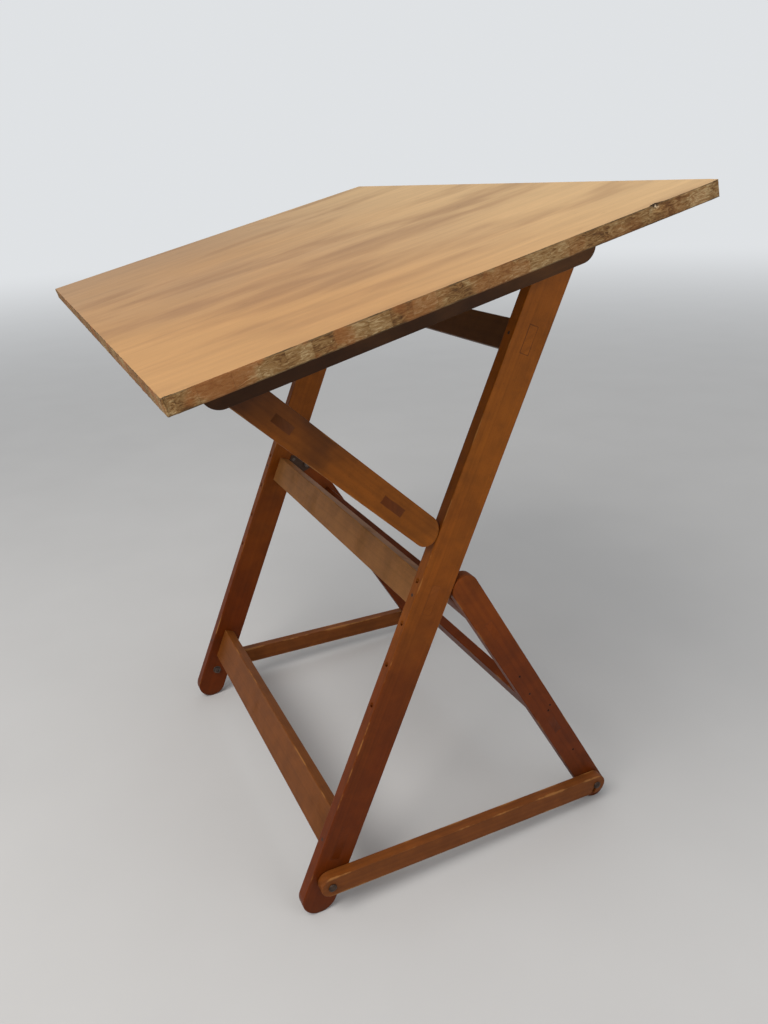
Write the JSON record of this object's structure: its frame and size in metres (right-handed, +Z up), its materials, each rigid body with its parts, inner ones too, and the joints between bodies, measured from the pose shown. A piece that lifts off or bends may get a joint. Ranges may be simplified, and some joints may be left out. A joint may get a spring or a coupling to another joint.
{
  "type": "drafting table",
  "caption": "Folding wooden drafting table: a tilted board pivots on a leaning leg frame, propped by a pegged strut frame, with a hinged back frame tied by side stretchers.",
  "frame": {"origin": "middle of the bounding box, on the floor", "axes": "+X from the low front edge of the board to its high back edge, +Y to the left-hand side, +Z up"},
  "size_m": [0.8549, 1.2, 1.2468],
  "materials": {
    "board_veneer": "pale golden face veneer, worn satin",
    "board_core": "raw blockboard edge, worn",
    "batten_wood": "dark stained wood, satin",
    "frame_wood": "reddish-brown varnished hardwood, satin",
    "stretcher_wood": "reddish-brown varnished hardwood, satin",
    "plate_steel": "dulled steel plate",
    "fixing_steel": "dulled steel bolts and screws",
    "nail_steel": "dark nail heads"
  },
  "bodies": {
    "long_frame": {"hinge_plate_left": "plate_steel", "hinge_plate_right": "plate_steel", "hinge_plate_screws": "fixing_steel", "long_frame_nails": "nail_steel", "long_leg_left": "frame_wood", "long_leg_right": "frame_wood", "long_low_rail": "frame_wood", "long_mid_rail": "frame_wood", "long_top_rail": "frame_wood", "stretcher_bolts": "fixing_steel", "stretcher_nuts": "fixing_steel", "stretcher_washers": "fixing_steel"},
    "board": {"batten_left": "batten_wood", "batten_right": "batten_wood", "batten_screws": "fixing_steel", "board_bottom_veneer": "board_veneer", "board_core": "board_core", "board_pivot_bolts": "fixing_steel", "board_pivot_nuts": "fixing_steel", "board_pivot_washers": "fixing_steel", "board_top_veneer": "board_veneer", "strut_pivot_bolts": "fixing_steel", "strut_pivot_nuts": "fixing_steel", "strut_pivot_washers": "fixing_steel"},
    "strut_frame": {"strut_frame_nails": "nail_steel", "strut_high_rail": "frame_wood", "strut_left": "frame_wood", "strut_low_rail": "frame_wood", "strut_right": "frame_wood", "strut_tip_pins": "fixing_steel"},
    "short_frame": {"hinge_screws": "fixing_steel", "hinge_washers": "fixing_steel", "short_frame_nails": "nail_steel", "short_leg_left": "frame_wood", "short_leg_right": "frame_wood", "short_low_rail": "frame_wood", "short_top_rail": "frame_wood", "stretcher_studs": "fixing_steel"},
    "stretcher_right": {"stretcher_right": "stretcher_wood"},
    "stretcher_left": {"stretcher_left": "stretcher_wood"}
  },
  "joints": [
    {"name": "board_lift", "type": "hinge", "parent": "long_frame", "child": "board", "pos_m": [0.25404, 0, 1.15757], "axis": [0, 1, 0], "range_deg": [0, 60]},
    {"name": "strut_swing", "type": "hinge", "parent": "board", "child": "strut_frame", "pos_m": [-0.30702, 0, 1.02287], "axis": [0, 1, 0], "range_deg": [-19.1, 0]},
    {"name": "short_frame_fold", "type": "hinge", "parent": "long_frame", "child": "short_frame", "pos_m": [0.07458, 0, 0.59953], "axis": [0, 1, 0], "range_deg": [0, 52.97]},
    {"name": "stretcher_right_lift", "type": "hinge", "parent": "long_frame", "child": "stretcher_right", "pos_m": [-0.22336, 0, 0.07517], "axis": [0, 1, 0], "range_deg": [-67.59, 0]},
    {"name": "stretcher_left_lift", "type": "hinge", "parent": "long_frame", "child": "stretcher_left", "pos_m": [-0.22336, 0, 0.07517], "axis": [0, 1, 0], "range_deg": [-67.59, 0]}
  ],
  "couplings": [
    {"joint": "strut_swing", "follows": "board_lift", "ratio": -0.3167},
    {"joint": "stretcher_right_lift", "follows": "short_frame_fold", "ratio": -1.2739},
    {"joint": "stretcher_left_lift", "follows": "short_frame_fold", "ratio": -1.2739}
  ]
}
